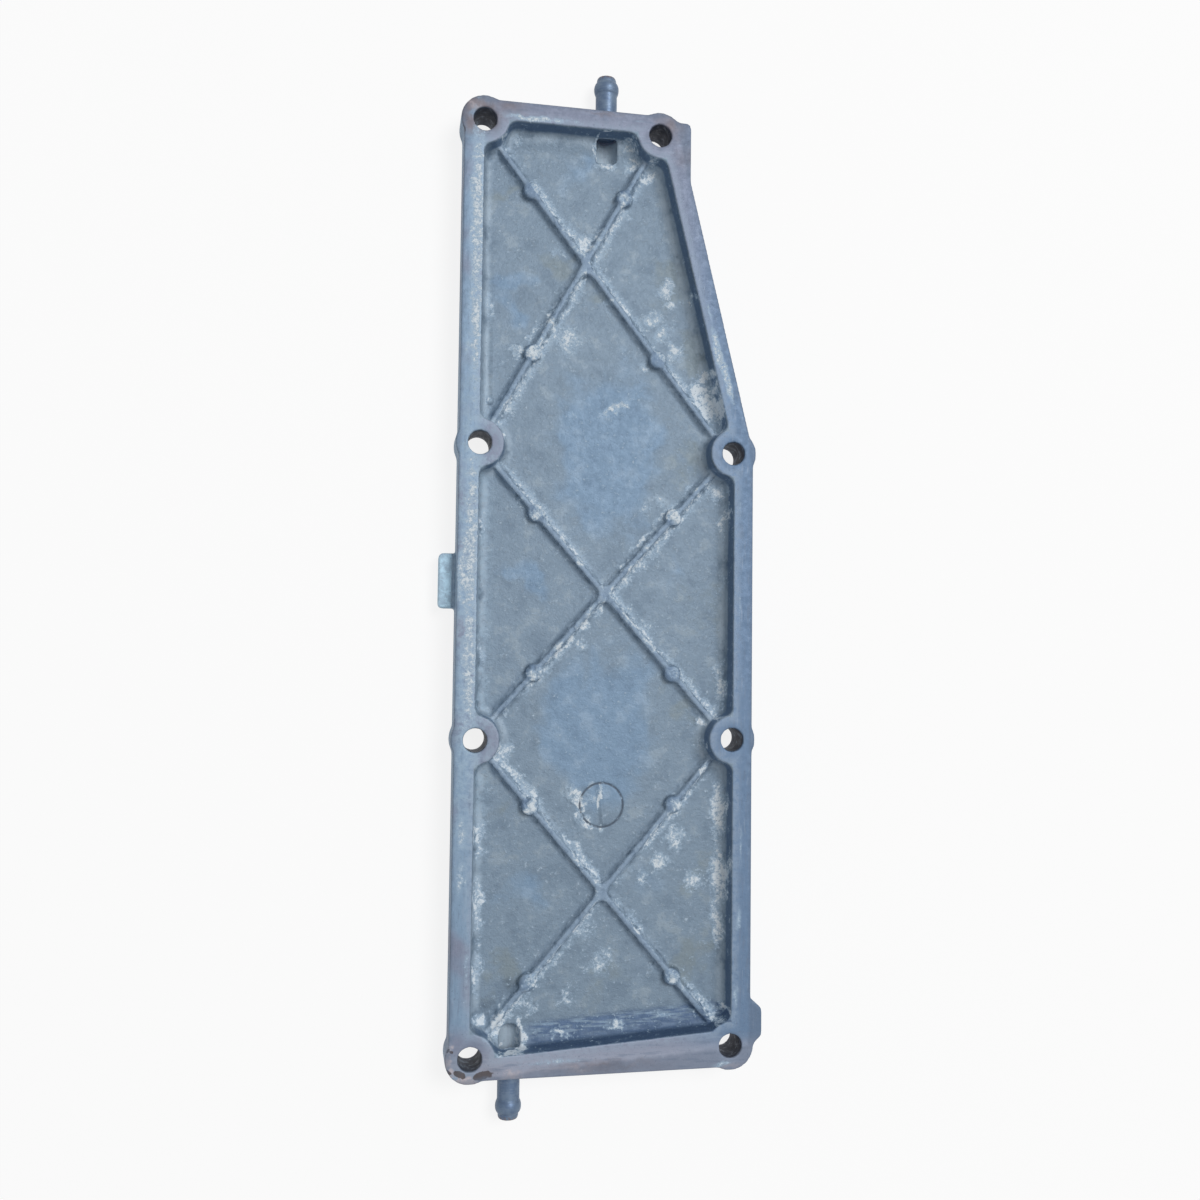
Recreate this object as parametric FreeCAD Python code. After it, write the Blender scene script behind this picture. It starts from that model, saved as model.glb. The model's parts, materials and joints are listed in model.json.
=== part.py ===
import FreeCAD, Part
import math
import os

from FreeCAD import Vector

# Bolt layout on the sealing face: two columns of four, the top right one set inboard
column_spacing = 94.0
upper_pitch = 118.0
middle_pitch = 106.0
lower_pitch = 110.5
top_right_inset = 29.0
bolt_hole_diameter = 8.5
boss_diameter = 17.4

# Casting: sealing rim, pocket and panel
flange_margin = 7.5
rim_width = 7.3
bottom_rim_widening = 6.2
pocket_depth = 9.0
panel_thickness = 5.0
pocket_draft = 5.0
outline_blend_radius = 4.0
pocket_corner_radius = 4.0
base_steps = 2
pocket_base_radius = 3.0
back_edge_chamfer = 0.8

# Raised seats under the bolt heads, on the back of the panel
seat_diameter = 15.0
seat_height = 2.0

# Crossed stiffening ribs in the pocket
rib_height = 2.8
rib_crest_width = 1.8
rib_draft = 12.0
rib_foot = 1.0
rib_crossing_radius = 3.0

# Round pads on the ribs, where the ejector pins pushed
pad_diameter = 6.4
pad_height = 3.1
pad_row_distance = 24.0
top_pad_row_distance = 22.5
second_pad_row_distance = 35.0

# Shallow ramps along the two end walls of the pocket
ramp_height = 2.0
ramp_length = 6.5

# Hose spigots: tubes pressed into the two end walls
spigot_diameter = 8.0
spigot_bore = 4.4
spigot_reach = 16.6
spigot_grip = 6.3
spigot_axis_depth = 10.0
upper_spigot_offset = -1.0
lower_spigot_offset = -32.4
bead_diameter = 9.3
bead_setback = 4.6
bead_length = 2.6
nose_diameter = 7.4
nose_length = 2.5
nose_chamfer = 1.2

# Cast boss round each pressed tube, and the trough that leads to it from the pocket
spigot_boss_diameter = 12.0
spigot_boss_stand = 1.0
spigot_boss_reach = 21.0
trough_width = 7.6
trough_reach = 16.5
upper_trough_end_radius = 1.8
lower_trough_end_radius = 3.4

# Flat tab on the left side, set below the sealing face
side_tab_centre = 3.7
side_tab_width = 19.8
side_tab_reach = 6.0
side_tab_thickness = 6.0
side_tab_radius = 1.6

# Ear on the lower right edge and square corner at the upper right, both flush with the face
ear_above_row = 8.0
ear_width = 13.0
ear_reach = 4.4
ear_radius = 3.0
corner_reach = 11.7
corner_drop = 1.8
corner_radius = 2.0

# Round mark left by a mould insert in the pocket floor, with a thin ridge across it
mark_diameter = 16.5
mark_below_row = 24.2
mark_groove_width = 0.6
mark_groove_depth = 0.4
mark_ridge_length = 14.5
mark_ridge_width = 1.1
mark_ridge_height = 0.5
mark_ridge_angle = 97.0

# Small amounts by which joined features run into the metal or past a cut
bite = 0.05
root = 1.0
overrun = 5.0

# Levels and edges that follow from the sizes above; the sealing face is at zero
floor_level = -pocket_depth
back_level = floor_level - panel_thickness
seat_level = back_level - seat_height
half_columns = column_spacing / 2
second_row = middle_pitch / 2
third_row = -middle_pitch / 2
top_row = second_row + upper_pitch
bottom_row = third_row - lower_pitch
left_edge = -half_columns - flange_margin
right_edge = half_columns + flange_margin
top_edge = top_row + flange_margin
bottom_edge = bottom_row - flange_margin

# The eight bolt axes, anticlockwise from the lower left
lower_left = Vector(-half_columns, bottom_row, 0)
lower_right = Vector(half_columns, bottom_row, 0)
third_right = Vector(half_columns, third_row, 0)
second_right = Vector(half_columns, second_row, 0)
top_right = Vector(half_columns - top_right_inset, top_row, 0)
top_left = Vector(-half_columns, top_row, 0)
second_left = Vector(-half_columns, second_row, 0)
third_left = Vector(-half_columns, third_row, 0)
bolts = [lower_left, lower_right, third_right, second_right, top_right, top_left, second_left, third_left]
corner_bolts = [lower_left, lower_right, second_right, top_right, top_left]

# The two ribs of each bay run from bolt to bolt across its diagonals
bays = [
    (top_left, second_right, top_right, second_left),
    (second_left, third_right, second_right, third_left),
    (third_left, lower_right, third_right, lower_left),
]


def flat_face(points):
    return Part.Face(Part.makePolygon(points + [points[0]]))


def flat_disc(centre, diameter):
    return Part.Face(Part.Wire(Part.makeCircle(diameter / 2, centre)))


def joined(faces):
    return faces[0].multiFuse(faces[1:]).removeSplitter().Faces[0]


def round_inside_corners(face, radius):
    return face.makeOffset2D(radius).makeOffset2D(-radius)


def round_outside_corners(face, radius):
    return face.makeOffset2D(-radius).makeOffset2D(radius)


def tab_face(x_low, x_high, y_low, y_high, radius):
    corners = [
        Vector(x_low, y_low, 0),
        Vector(x_high, y_low, 0),
        Vector(x_high, y_high, 0),
        Vector(x_low, y_high, 0),
    ]
    return round_outside_corners(flat_face(corners), radius)


def stepped_prism(face, sections):
    # Solid through the face's outline, moved inward and down by each (inset, level) in turn
    wires = []
    for inset, level in sections:
        outline = face.makeOffset2D(-inset) if inset else face.copy()
        outline.translate(Vector(0, 0, level))
        wires.append(outline.Wires[0])
    return Part.makeLoft(wires, True, True)


def cover_outline():
    # The bolt polygon widened by the margin, with the bosses, the ear and the corner standing out
    parts = [flat_face(corner_bolts).makeOffset2D(flange_margin)]
    for bolt in bolts:
        parts.append(flat_disc(bolt, boss_diameter))
    ear_low = bottom_row + ear_above_row - ear_width / 2
    parts.append(tab_face(half_columns, right_edge + ear_reach, ear_low, ear_low + ear_width, ear_radius))
    corner_top = top_edge - corner_drop
    corner_low = corner_top - 3 * boss_diameter / 2
    corner_side = top_right.x + corner_reach
    parts.append(tab_face(top_right.x, corner_side, corner_low, corner_top, corner_radius))
    return round_inside_corners(joined(parts), outline_blend_radius)


def pocket_outline():
    # The rim is even, but wider along the bottom towards the right, and goes round every boss
    inset = flange_margin - rim_width
    polygon = flat_face(corner_bolts).makeOffset2D(inset, 2)
    slope = bottom_rim_widening / column_spacing
    low = bottom_row - inset
    wedge = flat_face([
        Vector(-half_columns - overrun, low - overrun, 0),
        Vector(half_columns + overrun, low - overrun, 0),
        Vector(half_columns + overrun, low + bottom_rim_widening + overrun * slope, 0),
        Vector(-half_columns - overrun, low - overrun * slope, 0),
    ])
    discs = [flat_disc(bolt, boss_diameter) for bolt in bolts]
    return round_outside_corners(polygon.cut([wedge] + discs).Faces[0], pocket_corner_radius)


def cover_body():
    # Straight outer walls with a broken edge round the back, and a round seat under each bolt head
    outline = cover_outline()
    chamfer_level = back_level + back_edge_chamfer
    walls = outline.extrude(Vector(0, 0, chamfer_level))
    back = stepped_prism(outline, [(0, chamfer_level), (back_edge_chamfer, back_level)])
    seats = []
    for bolt in bolts:
        base = Vector(bolt.x, bolt.y, seat_level)
        seats.append(Part.makeCylinder(seat_diameter / 2, seat_height + root, base))
    return walls.fuse([back] + seats)


def pocket_space():
    # Drafted walls, then a concave round from wall to floor in a few flat steps
    draft = math.radians(pocket_draft)
    radius = pocket_base_radius
    round_start = floor_level + radius * (1 - math.sin(draft))
    round_inset = -round_start * math.tan(draft)
    sections = [(0, 0)]
    for step in range(base_steps + 1):
        angle = draft + (math.pi / 2 - draft) * step / base_steps
        inset = round_inset + radius * (math.cos(draft) - math.cos(angle))
        level = floor_level + radius * (1 - math.sin(angle))
        sections.append((inset, level))
    return stepped_prism(pocket_outline(), sections)


def rib_side(half_width):
    # One side of a rib from its crest to the floor: a drafted flank, then a sloping foot
    flank_end = Vector(half_width, 0, floor_level + rib_foot)
    flank_end.x += (rib_height - rib_foot) * math.tan(math.radians(rib_draft))
    crest = Vector(half_width, 0, floor_level + rib_height)
    foot = Vector(flank_end.x + rib_foot + bite, 0, floor_level - bite)
    return crest, flank_end, foot


def rib(start, end):
    crest, flank_end, foot = rib_side(rib_crest_width / 2)
    side = [crest, flank_end, foot, Vector(foot.x, 0, foot.z - root)]
    other_side = [Vector(-point.x, 0, point.z) for point in reversed(side)]
    along = end - start
    bar = flat_face(side + other_side).extrude(Vector(0, along.Length, 0))
    bar.rotate(Vector(0, 0, 0), Vector(0, 0, 1), math.degrees(math.atan2(-along.x, along.y)))
    bar.translate(start)
    return bar


def pad(centre):
    base = Vector(centre.x, centre.y, floor_level - root)
    return Part.makeCylinder(pad_diameter / 2, pad_height + root, base)


def crossing_point(rib_line, other_line):
    start, end = rib_line
    other_start, other_end = other_line
    along = end - start
    across = other_end - other_start
    gap = other_start - start
    share = gap.cross(across).z / along.cross(across).z
    return start + along * share


def point_at_row(rib_line, row):
    start, end = rib_line
    share = (row - start.y) / (end.y - start.y)
    return start + (end - start) * share


def crossing_webs(rib_line, other_line):
    # Rounded webs in the four corners where two ribs cross, with the same sides as the ribs
    centre = crossing_point(rib_line, other_line)
    along = (rib_line[1] - rib_line[0]).normalize()
    across = (other_line[1] - other_line[0]).normalize()
    inset = rib_crest_width / 2 + rib_crossing_radius
    bottom = floor_level - root
    webs = []
    for direction in (along, -along):
        for other in (across, -across):
            half_opening = math.acos(direction.dot(other)) / 2
            reach = inset / math.tan(half_opening)
            corner = centre + (direction + other).normalize() * (inset / math.sin(half_opening))
            outline = []
            for point in (centre, centre + direction * reach, corner, centre + other * reach):
                outline.append(Vector(point.x, point.y, bottom))
            block = flat_face(outline).extrude(Vector(0, 0, rib_height + root))
            webs.append(block.cut(crossing_corner(corner)))
    return webs


def crossing_corner(centre):
    # The free space beside two crossing ribs: widest at their crests, narrowing to the floor
    crest, flank_end, foot = rib_side(0)

    def inward(point):
        return Vector(max(rib_crossing_radius - point.x, bite), 0, point.z)

    top = floor_level + rib_height + root
    outline = [
        Vector(0, 0, foot.z),
        inward(foot),
        inward(flank_end),
        inward(crest),
        Vector(rib_crossing_radius, 0, top),
        Vector(0, 0, top),
    ]
    space = flat_face(outline).revolve(Vector(0, 0, 0), Vector(0, 0, 1), 360)
    space.translate(Vector(centre.x, centre.y, 0))
    return space


def ribs_and_pads():
    pad_rows = [
        (top_row - top_pad_row_distance, second_row + second_pad_row_distance),
        (second_row - pad_row_distance, third_row + pad_row_distance),
        (third_row - pad_row_distance, bottom_row + pad_row_distance),
    ]
    pieces = []
    for bay, rows in zip(bays, pad_rows):
        rib_line = (bay[0], bay[1])
        other_line = (bay[2], bay[3])
        pieces.append(rib(*rib_line))
        pieces.append(rib(*other_line))
        pieces += crossing_webs(rib_line, other_line)
        for line in (rib_line, other_line):
            for row in rows:
                pieces.append(pad(point_at_row(line, row)))
    return pieces


def end_ramp(start, end):
    # Low wedge along an end wall, from the wall line start to end, falling to the floor
    along = end - start
    section = flat_face([
        Vector(0, -root, floor_level - root),
        Vector(0, -root, floor_level + ramp_height),
        Vector(0, 0, floor_level + ramp_height),
        Vector(0, ramp_length, floor_level - bite),
        Vector(0, ramp_length, floor_level - root),
    ])
    wedge = section.extrude(Vector(along.Length, 0, 0))
    wedge.rotate(Vector(0, 0, 0), Vector(0, 0, 1), math.degrees(math.atan2(along.y, along.x)))
    wedge.translate(start)
    return wedge


def end_ramps():
    inset = flange_margin - rim_width
    shrink = pocket_depth * math.tan(math.radians(pocket_draft))
    top_wall = top_row + inset - shrink
    low_wall = bottom_row - inset + shrink
    top_ramp = end_ramp(Vector(top_right.x, top_wall, 0), Vector(top_left.x, top_wall, 0))
    low_ramp = end_ramp(
        Vector(-half_columns, low_wall, 0),
        Vector(half_columns, low_wall + bottom_rim_widening, 0),
    )
    return [top_ramp, low_ramp]


def spigot_places():
    # Offset across the cover, end face and outward direction of each hose spigot
    return [(upper_spigot_offset, top_edge, 1), (lower_spigot_offset, bottom_edge, -1)]


def lengthwise_cylinder(offset, start, end, diameter):
    low = min(start, end)
    base = Vector(offset, low, -spigot_axis_depth)
    return Part.makeCylinder(diameter / 2, abs(end - start), base, Vector(0, 1, 0))


def spigot_bosses():
    bosses = []
    for offset, edge, outward in spigot_places():
        outer_end = edge + outward * spigot_boss_stand
        inner_end = edge - outward * spigot_boss_reach
        bosses.append(lengthwise_cylinder(offset, inner_end, outer_end, spigot_boss_diameter))
    return bosses


def trough(offset, inner_end, seat, end_radius):
    # Round-bottomed slot along the cover, open to the pocket above, its inner corners rounded
    half = trough_width / 2
    top = floor_level + ramp_height + bite
    left = Vector(offset - half, seat, -spigot_axis_depth)
    right = Vector(offset + half, seat, -spigot_axis_depth)
    lowest = Vector(offset, seat, -spigot_axis_depth - half)
    left_top = Vector(left.x, seat, top)
    right_top = Vector(right.x, seat, top)
    section = [
        Part.Arc(left, lowest, right).toShape(),
        Part.makeLine(right, right_top),
        Part.makeLine(right_top, left_top),
        Part.makeLine(left_top, left),
    ]
    slot = Part.Face(Part.Wire(section)).extrude(Vector(0, inner_end - seat, 0))
    beyond = seat + math.copysign(trough_width, seat)
    low = min(inner_end, beyond)
    high = max(inner_end, beyond)
    plan = tab_face(offset - half, offset + half, low, high, min(end_radius, 0.9 * half))
    plan.translate(Vector(0, 0, seat_level))
    return slot.common(plan.extrude(Vector(0, 0, -seat_level)))


def spigot_passages():
    # Press bore through each end wall, and the trough in the floor that it opens into
    passages = []
    for offset, edge, outward in spigot_places():
        seat = edge - outward * spigot_grip
        end_radius = upper_trough_end_radius if outward > 0 else lower_trough_end_radius
        passages.append(lengthwise_cylinder(offset, seat, edge + outward * overrun, spigot_diameter))
        passages.append(trough(offset, edge - outward * trough_reach, seat, end_radius))
    return passages


def side_tab():
    low = side_tab_centre - side_tab_width / 2
    outline = tab_face(left_edge - side_tab_reach, -half_columns, low, low + side_tab_width, side_tab_radius)
    tab = outline.extrude(Vector(0, 0, side_tab_thickness))
    tab.translate(Vector(0, 0, back_level))
    return tab


def mark_centre():
    return Vector(0, third_row - mark_below_row, floor_level)


def mark_groove():
    base = mark_centre() - Vector(0, 0, mark_groove_depth)
    outer = Part.makeCylinder(mark_diameter / 2, mark_groove_depth + root, base)
    inner = Part.makeCylinder(mark_diameter / 2 - mark_groove_width, mark_groove_depth + root, base)
    return outer.cut(inner)


def mark_ridge():
    ridge = Part.makeBox(mark_ridge_length, mark_ridge_width, mark_ridge_height + root)
    ridge.translate(Vector(-mark_ridge_length / 2, -mark_ridge_width / 2, -root))
    ridge.rotate(Vector(0, 0, 0), Vector(0, 0, 1), mark_ridge_angle)
    ridge.translate(mark_centre())
    return ridge


def bolt_holes():
    holes = []
    for bolt in bolts:
        base = Vector(bolt.x, bolt.y, seat_level - root)
        holes.append(Part.makeCylinder(bolt_hole_diameter / 2, root - seat_level + root, base))
    return holes


def cover_casting():
    casting = cover_body().fuse(spigot_bosses() + [side_tab()])
    casting = casting.cut(pocket_space())
    casting = casting.fuse(ribs_and_pads() + end_ramps())
    casting = casting.cut([mark_groove()])
    casting = casting.fuse([mark_ridge()])
    casting = casting.cut(spigot_passages() + bolt_holes())
    return casting.removeSplitter()


def spigot_section():
    # Half section of the turned tube about its axis: grip, shaft, hose bead and rounded nose
    tip = spigot_grip + spigot_reach
    hole = spigot_bore / 2
    shaft = spigot_diameter / 2
    bead = bead_diameter / 2
    nose = nose_diameter / 2
    chamfer = min(nose_chamfer, 0.9 * (nose - hole))
    crest = tip - bead_setback
    outline = [
        Vector(hole, 0, 0),
        Vector(shaft, 0, 0),
        Vector(shaft, 0, crest - bead_length),
        Vector(bead, 0, crest),
        Vector(nose, 0, tip - nose_length),
        Vector(nose - chamfer, 0, tip),
        Vector(hole, 0, tip),
    ]
    return flat_face(outline)


def hose_spigot(offset, edge, outward):
    tube = spigot_section().revolve(Vector(0, 0, 0), Vector(0, 0, 1), 360)
    tube.rotate(Vector(0, 0, 0), Vector(1, 0, 0), -90 * outward)
    tube.translate(Vector(offset, edge - outward * spigot_grip, -spigot_axis_depth))
    return tube


def main():
    os.makedirs("parts", exist_ok=True)
    upper, lower = spigot_places()
    pieces = {
        "cover_casting": cover_casting(),
        "upper_hose_spigot": hose_spigot(*upper),
        "lower_hose_spigot": hose_spigot(*lower),
    }
    for name, shape in pieces.items():
        shape.exportStep(f"parts/{name}.step")
        print(name, len(shape.Solids), "solid, valid", shape.isValid(), round(shape.Volume), "mm3")


main()
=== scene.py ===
import json
import math

import bpy
import numpy as np
from mathutils import Euler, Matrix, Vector, noise


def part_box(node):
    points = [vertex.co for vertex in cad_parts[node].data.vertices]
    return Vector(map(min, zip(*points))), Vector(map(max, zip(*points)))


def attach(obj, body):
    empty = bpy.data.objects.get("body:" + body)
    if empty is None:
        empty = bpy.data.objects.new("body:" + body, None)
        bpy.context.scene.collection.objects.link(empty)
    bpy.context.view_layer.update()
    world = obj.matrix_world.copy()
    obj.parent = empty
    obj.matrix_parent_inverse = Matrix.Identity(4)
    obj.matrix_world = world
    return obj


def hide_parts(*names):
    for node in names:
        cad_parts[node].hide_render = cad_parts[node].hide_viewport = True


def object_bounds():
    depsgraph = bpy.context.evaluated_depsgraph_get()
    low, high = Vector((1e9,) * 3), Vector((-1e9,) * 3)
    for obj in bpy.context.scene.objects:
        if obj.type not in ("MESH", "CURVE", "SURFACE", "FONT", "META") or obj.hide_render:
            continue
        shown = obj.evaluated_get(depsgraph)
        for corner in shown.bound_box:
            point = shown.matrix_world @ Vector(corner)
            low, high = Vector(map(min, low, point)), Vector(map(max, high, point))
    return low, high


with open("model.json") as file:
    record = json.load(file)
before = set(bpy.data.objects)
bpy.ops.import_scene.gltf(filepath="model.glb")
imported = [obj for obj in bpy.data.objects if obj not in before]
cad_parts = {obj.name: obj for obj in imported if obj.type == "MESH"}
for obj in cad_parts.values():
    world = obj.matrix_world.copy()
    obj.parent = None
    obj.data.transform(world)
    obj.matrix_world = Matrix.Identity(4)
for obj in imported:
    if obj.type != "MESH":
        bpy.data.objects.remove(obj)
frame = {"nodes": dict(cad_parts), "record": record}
cadLow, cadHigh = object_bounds()
mm = 0.001
scene = bpy.context.scene
noise.seed_set(7)
print("frame loaded")


# Places on the cover in mm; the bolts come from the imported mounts

def boltRows():
    # Pairs of a left and a right bolt, the top row first
    rows = []
    for mount in frame["record"]["mounts"]:
        if mount["kind"] != "bolt_pattern":
            continue
        centre = Vector(mount["pos_m"]) / mm
        halfX = mount["dims"]["spacing_x_mm"] / 2
        halfY = mount["dims"].get("spacing_y_mm", 0) / 2
        for y in sorted({centre.y - halfY, centre.y + halfY}):
            rows.append((Vector((centre.x - halfX, y, 0)), Vector((centre.x + halfX, y, 0))))
    return sorted(rows, key=lambda row: -row[0].y)


cover = {
    "floorLevel": -9.0,
    "backLevel": -14.0,
    "bossRadius": 8.7,
    "holeRadius": 4.25,
    "rimInset": 0.2,  # the pocket wall runs this far outside the lines between the bolts
    "bottomWidening": 6.2,  # extra rim at the right end of the bottom edge
    "padRows": [(22.5, 35.0), (24.0, 24.0), (24.0, 24.0)],  # how far the pads lie below and above a bay's bolts
    "markCentre": (0.0, -77.2),
    "markRadius": 8.0,
    "tabPlace": (-58.0, 3.0, -10.0),  # middle of the side tab
}
rows = boltRows()
bolts = [bolt for row in rows for bolt in row]
ribs = []  # per bay: the rib that falls to the right, then the one that falls to the left
for upper, lower in zip(rows, rows[1:]):
    ribs.append(((upper[0], lower[1]), (upper[1], lower[0])))


def onRib(bay, leans, share, offset=0.0):
    # Point at a share of a rib's length from its top end, set off sideways towards +X
    start, end = ribs[bay][leans]
    along = (end - start).normalized()
    sideways = Vector((-along.y, along.x, 0))
    if sideways.x < 0:
        sideways.negate()
    return start + (end - start) * share + sideways * offset


def padPlaces():
    places = []
    for bay, (below, above) in enumerate(cover["padRows"]):
        top = rows[bay][0].y
        bottom = rows[bay + 1][0].y
        for y in (top - below, bottom + above):
            for leans in (0, 1):
                places.append(onRib(bay, leans, (top - y) / (top - bottom)))
    return places


pads = padPlaces()


# Stains and deposits are soft ellipses, grouped by (turn in degrees, length to width).
# Each one is x, y, half width and strength, in mm

def alongRib(bay, leans, places):
    # Group of long spots on one rib; places give share of the rib's length, offset, half width, strength
    start, end = ribs[bay][leans]
    turn = math.degrees(math.atan2(end.y - start.y, end.x - start.x))
    spots = []
    for share, offset, halfWidth, strength in places:
        place = onRib(bay, leans, share, offset)
        spots.append((place.x, place.y, halfWidth, strength))
    return {(turn, 5): spots}


# Strength of the chalk on each pad: upper left, upper right, lower right, lower left of each bay
padChalk = (0.3, 1.0, 0.4, 1.3, 0.95, 1.3, 0.6, 1.0, 1.2, 0.65, 1.0, 0.7)
padChalkHalfWidth = 4.4
chalkSpots = {
    (0, 1): [
        (-9.5, 131.0, 6.6, 1.15),  # fork above the top crossing
        (-13.5, 135.0, 5.0, 0.8),
        (-4.5, 134.5, 5.0, 0.8),
        (15.3, 158.4, 3.6, 2.0),
        (7.8, 168.0, 4.8, 1.0),
        (8.6, 162.0, 4.6, 1.1),
        (-34.0, 168.0, 5.0, 0.6),
        (-19.0, 127.0, 5.0, 0.6),
        (6.8, 142.0, 3.2, 0.7),
        (32.5, 131.0, 3.5, 0.6),
        (-15.0, 94.0, 9.5, 0.9),
        (-20.5, 100.5, 3.4, 1.0),
        (-33.5, 88.0, 5.0, 0.85),
        (-38.0, 83.5, 4.0, 0.5),
        (-43.0, 69.5, 2.4, 1.0),
        (-12.0, 67.0, 3.5, 0.65),
        (22.4, 116.0, 5.0, 1.0),
        (25.0, 110.5, 4.4, 1.0),
        (31.5, 112.0, 4.0, 0.9),
        (17.5, 104.5, 5.6, 0.9),
        (22.0, 99.0, 6.4, 0.95),
        (26.3, 92.5, 5.6, 1.0),
        (14.5, 86.5, 3.0, 0.8),
        (37.5, 83.0, 4.2, 1.3),
        (36.5, 75.5, 6.8, 1.8),  # corner of the pocket at the slanted wall's foot
        (40.8, 70.0, 6.5, 2.0),
        (-38.5, 57.5, 3.0, 0.8),
        (43.5, 40.0, 5.0, 1.15),
        (21.5, 35.5, 4.4, 0.95),
        (15.0, 33.0, 5.5, 0.5),
        (17.0, 18.0, 7.5, 0.6),
        (-31.5, 33.5, 4.0, 0.6),
        (-8.5, -19.5, 5.0, 0.8),
        (17.0, -12.0, 6.0, 0.6),
        (32.5, -33.0, 4.5, 0.8),
        (36.5, -46.5, 2.6, 1.9),
        (37.0, -55.0, 3.5, 0.6),
        (-36.5, -57.5, 5.5, 1.0),
        (-8.8, -75.3, 3.6, 1.8),  # crusts on and beside the round mark
        (-11.5, -73.0, 5.2, 0.95),
        (-4.7, -70.3, 2.2, 1.0),
        (-8.4, -80.6, 3.6, 1.3),
        (-5.6, -84.2, 3.4, 1.2),
        (-0.6, -85.4, 2.4, 1.0),
        (-4.0, -74.5, 4.4, 0.75),
        (27.8, -90.0, 7.4, 1.0),
        (22.0, -98.5, 6.2, 0.9),
        (15.5, -104.0, 5.0, 0.75),
        (35.5, -105.5, 6.4, 0.9),
        (-42.5, -93.0, 2.6, 0.7),
        (-24.0, -138.5, 6.5, 0.95),
        (-24.5, -148.5, 5.5, 0.65),
        (-43.4, -153.0, 3.6, 1.6),
        (-12.0, -146.5, 6.0, 0.7),
        (0.0, -134.0, 11.0, 0.65),
        (-5.0, -121.0, 8.0, 0.7),
        (46.0, -150.9, 2.0, 1.1),
    ],
    (90, 4): [
        (-5.2, 167.0, 1.4, 1.2),  # lips of the troughs
        (-28.2, -157.5, 2.4, 2.0),
        (-0.9, -74.0, 1.5, 1.9),  # ridge in the round mark
        (-44.0, 105.0, 2.4, 0.7),
        (-45.5, 25.0, 2.6, 0.75),
        (-45.2, -22.0, 2.6, 0.75),
        (-44.7, -88.0, 3.4, 0.95),
        (-44.7, -112.0, 3.6, 1.1),
        (-44.7, -136.0, 3.4, 1.0),
        (45.6, 27.0, 2.8, 1.05),
        (44.6, 5.0, 2.0, 0.6),
        (44.2, -33.0, 3.6, 1.1),
        (44.0, -80.0, 4.0, 1.4),
        (44.2, -103.0, 4.2, 1.4),
        (43.8, -123.0, 3.8, 1.15),
    ],
    (0, 4): [
        (-1.0, 161.0, 1.4, 1.4),
        (-1.0, 171.8, 0.9, 0.9),
        (-33.0, -163.4, 2.0, 1.8),
        (-20.0, 166.5, 2.0, 0.5),
        (6.0, -156.4, 1.6, 0.9),
        (-14.0, -158.4, 1.7, 1.0),
        (24.0, -154.0, 1.6, 0.5),
    ],
    (62, 3): [
        (-36.6, -153.4, 2.6, 2.0),
    ],
    (31, 4): [
        (4.0, 69.8, 2.4, 1.05),
    ],
}
for pad, strength in zip(pads, padChalk):
    chalkSpots[(0, 1)].append((pad.x, pad.y, padChalkHalfWidth, strength))
ribChalk = {
    (0, 0): [
        (0.32, 2.2, 2.4, 1.0), (0.46, 2.2, 2.4, 0.9), (0.55, 2.2, 2.6, 1.0),
        (0.63, 2.6, 2.6, 0.8), (0.52, -3.0, 2.0, 0.55), (0.82, 1.3, 1.1, 0.95),
    ],
    (0, 1): [
        (0.16, 1.8, 1.2, 0.8), (0.31, -0.8, 1.2, 0.8), (0.54, 2.2, 2.2, 0.9), (0.60, -1.2, 1.8, 0.8),
        (0.64, 1.4, 2.2, 0.8), (0.66, -3.4, 2.4, 0.6), (0.80, 1.2, 1.8, 0.45),
    ],
    (1, 0): [
        (0.10, 2.0, 2.0, 0.75), (0.30, 1.6, 2.2, 0.8), (0.40, 1.6, 2.0, 0.8), (0.60, 1.2, 2.0, 1.1),
        (0.68, 1.4, 2.0, 1.1), (0.63, 5.0, 2.4, 0.6), (0.84, 1.4, 2.0, 0.7),
    ],
    (1, 1): [
        (0.14, -2.2, 2.4, 0.7), (0.22, -3.0, 2.6, 0.85), (0.32, -2.6, 2.4, 0.9),
        (0.42, -2.0, 2.0, 0.7), (0.16, 2.0, 1.6, 0.6), (0.36, 4.0, 3.0, 0.6),
        (0.58, 1.4, 2.4, 1.1), (0.67, 1.8, 2.6, 1.25), (0.88, 2.4, 2.4, 0.5),
    ],
    (2, 0): [
        (0.12, 3.6, 4.2, 0.95), (0.20, 2.6, 3.2, 0.9), (0.36, 3.0, 2.4, 0.9),
        (0.42, 0.4, 1.8, 0.7), (0.63, 1.6, 1.3, 1.2), (0.82, 1.6, 2.0, 0.5),
    ],
    (2, 1): [
        (0.10, 0.6, 1.6, 1.0), (0.60, 2.6, 3.2, 0.7), (0.70, 2.8, 2.8, 0.7), (0.90, 1.4, 2.4, 0.8),
    ],
}
for (bay, leans), places in ribChalk.items():
    chalkSpots |= alongRib(bay, leans, places)

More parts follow.
